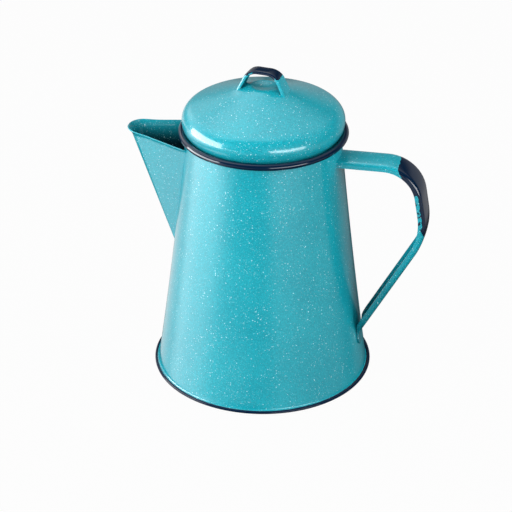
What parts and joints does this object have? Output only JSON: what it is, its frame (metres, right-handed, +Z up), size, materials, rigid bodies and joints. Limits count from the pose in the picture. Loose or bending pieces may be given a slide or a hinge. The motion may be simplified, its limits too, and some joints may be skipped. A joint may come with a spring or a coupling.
{
  "type": "coffee percolator",
  "caption": "Tall waisted enamelled pot with a half-cone spout, a strap handle, a lift-off lid with a strap pull, and a pump and coffee basket that lift out.",
  "frame": {"origin": "middle of the base's underside, on the pot's axis", "axes": "+Z up along the pot's axis, +X towards the handle, -X towards the spout"},
  "size_m": [0.2193, 0.16, 0.2318],
  "materials": {
    "pot_enamel": "glossy speckled enamel, dark rim",
    "foot_enamel": "glossy dark enamel edge",
    "spout_enamel": "glossy speckled enamel",
    "handle_enamel": "glossy enamel with a dark dipped grip",
    "lid_enamel": "glossy speckled enamel",
    "lid_inner_enamel": "glossy speckled enamel",
    "strap_enamel": "glossy enamel with a dark dipped top",
    "works_aluminium": "satin"
  },
  "bodies": {
    "pot": {"pot_body": "pot_enamel", "base_plate": "foot_enamel", "spout": "spout_enamel", "handle": "handle_enamel"},
    "lid": {"lid_dome": "lid_enamel", "lid_collar": "lid_inner_enamel", "lid_strap": "strap_enamel"},
    "pump": {"pump_foot": "works_aluminium", "pump_tube": "works_aluminium", "stop_ring": "works_aluminium"},
    "basket": {"basket_cup": "works_aluminium", "basket_sleeve": "works_aluminium"},
    "spreader": {"spreader": "works_aluminium"}
  },
  "joints": [
    {"name": "lid_lift", "type": "slide", "parent": "pot", "child": "lid", "axis": [0, 0, 1], "range_m": [0, 0.36]},
    {"name": "pump_lift", "type": "slide", "parent": "pot", "child": "pump", "axis": [0, 0, 1], "range_m": [0, 0.216]},
    {"name": "basket_lift", "type": "slide", "parent": "pump", "child": "basket", "axis": [0, 0, 1], "range_m": [0, 0.09]},
    {"name": "spreader_lift", "type": "slide", "parent": "basket", "child": "spreader", "axis": [0, 0, 1], "range_m": [0, 0.036]}
  ],
  "couplings": [
    {"joint": "pump_lift", "follows": "lid_lift", "ratio": 0.6},
    {"joint": "basket_lift", "follows": "lid_lift", "ratio": 0.25},
    {"joint": "spreader_lift", "follows": "lid_lift", "ratio": 0.1}
  ]
}
